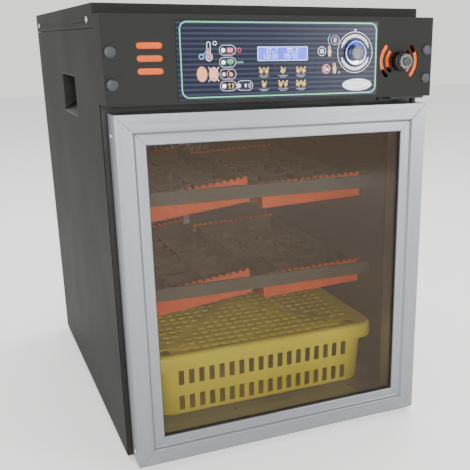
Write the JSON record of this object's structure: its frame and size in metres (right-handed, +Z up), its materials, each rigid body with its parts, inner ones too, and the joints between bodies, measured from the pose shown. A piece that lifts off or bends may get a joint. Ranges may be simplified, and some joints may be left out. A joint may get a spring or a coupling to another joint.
{
  "type": "egg incubator",
  "caption": "Table-top insulated egg incubator with a hinged glass door, tilting egg trays, a lidded hatching basket, circulation fan with heater and a control fascia with an air regulator.",
  "frame": {"origin": "middle of the footprint, on the plane that the rubber feet stand on", "axes": "+Z up, -Y towards the door and the control fascia, +X to the right of someone facing the door"},
  "size_m": [0.4326, 0.6056, 0.581],
  "materials": {
    "painted_dark": "satin powder coat",
    "black_sheet": "satin",
    "liner": "satin",
    "foam": "open foam",
    "black_plastic": "moulded",
    "rubber": "matt",
    "zinc": "zinc plated",
    "orange_plastic": "moulded",
    "overlay_print": "printed film",
    "display": "lit",
    "led": "lit",
    "board": "solder mask",
    "knob_metal": "polished",
    "cap_grey": "satin",
    "aluminium": "anodised",
    "glass": "bronze tint",
    "bar_grey": "satin",
    "cast": "die cast",
    "element": "heat tinted",
    "white_plastic": "moulded",
    "yellow_plastic": "moulded",
    "red_plastic": "moulded"
  },
  "bodies": {
    "root": {"base_panel": "painted_dark", "side_panel_left": "painted_dark", "side_panel_right": "painted_dark", "back_panel": "painted_dark", "top_cover": "painted_dark", "front_frame": "black_sheet", "liner_floor": "liner", "liner_left": "liner", "liner_right": "liner", "liner_ceiling": "liner", "liner_back": "liner", "insulation": "foam", "handle_cups": "black_plastic", "rubber_feet": "rubber", "cover_screws": "zinc", "fascia": "painted_dark", "intake_plate": "orange_plastic", "overlay": "overlay_print", "lcd_module": "display", "indicator_leds": "led", "control_board": "board", "encoder_body": "black_plastic", "screw_caps": "cap_grey", "hinge_brackets": "black_sheet", "front_crossbars": "bar_grey", "rear_crossbars": "bar_grey", "gear_motor": "cast", "fan_motor": "black_plastic", "fan_guard": "zinc", "heater_coil": "element", "climate_probe": "white_plastic", "water_tray": "white_plastic", "hatching_basket": "yellow_plastic", "basket_lid": "yellow_plastic", "power_inlet": "black_plastic"},
    "door": {"door_stile_left": "aluminium", "door_stile_right": "aluminium", "door_rail_top": "aluminium", "door_rail_bottom": "aluminium", "door_glass": "glass", "glazing_gasket": "rubber", "door_seal": "rubber", "door_screws": "zinc", "hinge_bushes": "zinc"},
    "air_regulator": {"vent_knob": "black_plastic", "vent_disc": "orange_plastic"},
    "encoder_slide": {"encoder_plunger": "zinc"},
    "encoder_dial": {"encoder_knob": "knob_metal"},
    "tray_lower_left": {"carrier_lower_left": "orange_plastic", "egg_tray_lower_left": "orange_plastic", "turning_shaft": "zinc"},
    "tray_lower_right": {"carrier_lower_right": "orange_plastic", "egg_tray_lower_right": "orange_plastic"},
    "tray_upper_left": {"carrier_upper_left": "orange_plastic", "egg_tray_upper_left": "orange_plastic"},
    "tray_upper_right": {"carrier_upper_right": "orange_plastic", "egg_tray_upper_right": "orange_plastic"},
    "link": {"turning_link": "zinc"},
    "fan": {"fan_impeller": "black_plastic"},
    "rocker": {"power_rocker": "red_plastic"}
  },
  "joints": [
    {"name": "door_hinge", "type": "hinge", "parent": "root", "child": "door", "pos_m": [0.2, -0.26477, 0.233], "axis": [0, 0, 1], "range_deg": [0, 110]},
    {"name": "regulator_turn", "type": "hinge", "parent": "root", "child": "air_regulator", "pos_m": [0.1647, -0.28377, 0.5147], "axis": [0, -1, 0], "range_deg": [-63, 28]},
    {"name": "encoder_push", "type": "slide", "parent": "root", "child": "encoder_slide", "axis": [0, 1, 0], "range_m": [0, 0.0008], "stiffness_N_per_m": 4000},
    {"name": "encoder_turn", "type": "hinge", "parent": "encoder_slide", "child": "encoder_dial", "pos_m": [0.099, -0.28778, 0.5255], "axis": [0, -1, 0], "continuous": true},
    {"name": "tray_turn", "type": "hinge", "parent": "root", "child": "tray_lower_left", "pos_m": [-0.088, -0.01277, 0.20692], "axis": [0, -1, 0], "range_deg": [-47, 38]},
    {"name": "tray_lower_right_turn", "type": "hinge", "parent": "root", "child": "tray_lower_right", "pos_m": [0.088, -0.01277, 0.20692], "axis": [0, -1, 0], "range_deg": [-47, 38]},
    {"name": "tray_upper_left_turn", "type": "hinge", "parent": "root", "child": "tray_upper_left", "pos_m": [-0.088, -0.01277, 0.34042], "axis": [0, -1, 0], "range_deg": [-47, 38]},
    {"name": "tray_upper_right_turn", "type": "hinge", "parent": "root", "child": "tray_upper_right", "pos_m": [0.088, -0.01277, 0.34042], "axis": [0, -1, 0], "range_deg": [-47, 38]},
    {"name": "link_swing", "type": "hinge", "parent": "tray_lower_left", "child": "link", "pos_m": [-0.088, 0.17122, 0.17692], "axis": [0, -1, 0], "range_deg": [-38, 47]},
    {"name": "fan_spin", "type": "hinge", "parent": "root", "child": "fan", "pos_m": [0, 0.19723, 0.371], "axis": [0, 1, 0], "continuous": true},
    {"name": "rocker_tilt", "type": "hinge", "parent": "root", "child": "rocker", "pos_m": [-0.107, 0.29423, 0.511], "axis": [1, 0, 0], "range_deg": [-16, 0]}
  ],
  "couplings": [
    {"joint": "tray_lower_right_turn", "follows": "tray_turn", "ratio": 1},
    {"joint": "tray_upper_left_turn", "follows": "tray_turn", "ratio": 1},
    {"joint": "tray_upper_right_turn", "follows": "tray_turn", "ratio": 1},
    {"joint": "link_swing", "follows": "tray_turn", "ratio": -1}
  ]
}
